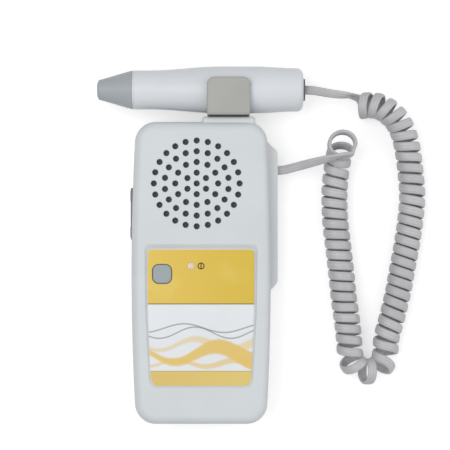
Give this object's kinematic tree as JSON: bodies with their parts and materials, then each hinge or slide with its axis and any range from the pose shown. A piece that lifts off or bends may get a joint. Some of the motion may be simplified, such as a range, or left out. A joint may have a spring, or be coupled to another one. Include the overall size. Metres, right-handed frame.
{
  "type": "vascular doppler",
  "caption": "Handheld vascular doppler lying on its back, with speaker grille, keypad label, pencil probe parked in a U-shaped clip and a curly lead.",
  "frame": {"origin": "on the body's centre line, halfway between the two ends of the moulded body, in the plane of the flat back face", "axes": "+Y towards the probe end, +X towards the side with the lead, +Z out of the front face"},
  "size_m": [0.1545, 0.1665, 0.0287],
  "materials": {
    "shell_white": "fine-textured light grey moulded ABS",
    "clip_grey": "satin beige-grey plastic",
    "tip_grey": "satin blue-grey plastic",
    "label_print": "printed polyester sheet, semi-gloss",
    "button_grey": "satin grey",
    "lamp": "diffused epoxy",
    "dark_plastic": "matt black-grey",
    "rubber_grey": "satin rubber",
    "steel": "zinc plated",
    "brass_contact": "plated",
    "board": "solder-masked glass epoxy",
    "cloth": "woven acoustic cloth",
    "paper_cone": "pressed paper",
    "ferrite": "ground ferrite",
    "pzt": "fired ceramic",
    "lead_grey": "satin flexible jacket",
    "clear_plug": "moulded plug",
    "lens_grey": "cast resin"
  },
  "bodies": {
    "body": {"front_cover": "shell_white", "rear_cover": "shell_white", "label_panel": "label_print", "power_switch": "dark_plastic", "indicator_led": "lamp", "rocker_pin": "steel", "rocker_bracket": "dark_plastic", "volume_switches": "dark_plastic", "clip_bracket": "shell_white", "probe_clip": "clip_grey", "clip_screws": "steel", "speaker_frame": "dark_plastic", "speaker_cone": "paper_cone", "speaker_magnet": "ferrite", "speaker_cloth": "cloth", "main_board": "board", "board_chips": "dark_plastic", "board_screws": "steel", "battery": "dark_plastic", "battery_terminals": "brass_contact", "case_screws": "steel", "jack_socket": "dark_plastic", "jack_contacts": "brass_contact", "lead_plug": "clear_plug", "cord_probe_lead": "lead_grey", "cord_coil": "lead_grey", "cord_body_lead": "lead_grey"},
    "button": {"power_button": "button_grey", "switch_plunger": "dark_plastic"},
    "rocker": {"volume_rocker": "rubber_grey"},
    "door": {"battery_door": "shell_white"},
    "probe": {"probe_shell": "shell_white", "probe_seal": "clear_plug", "probe_tip": "tip_grey", "acoustic_lens": "lens_grey", "crystals": "pzt", "backing_block": "dark_plastic", "probe_board": "board", "probe_end_plate": "dark_plastic", "cord_clamp": "dark_plastic"}
  },
  "joints": [
    {"name": "power_press", "type": "slide", "parent": "body", "child": "button", "axis": [0, 0, -1], "range_m": [0, 0.0008], "stiffness_N_per_m": 1500},
    {"name": "volume_rock", "type": "hinge", "parent": "body", "child": "rocker", "pos_m": [-0.02818, 0.0274, 0.019], "axis": [0, 0, 1], "range_deg": [-2.5, 2.5], "stiffness_Nm_per_rad": 0.4},
    {"name": "door_slide", "type": "slide", "parent": "body", "child": "door", "axis": [0, -1, 0], "range_m": [0, 0.062]},
    {"name": "probe_lift", "type": "slide", "parent": "body", "child": "probe", "axis": [0, 1, 0], "range_m": [0, 0.032]}
  ]
}
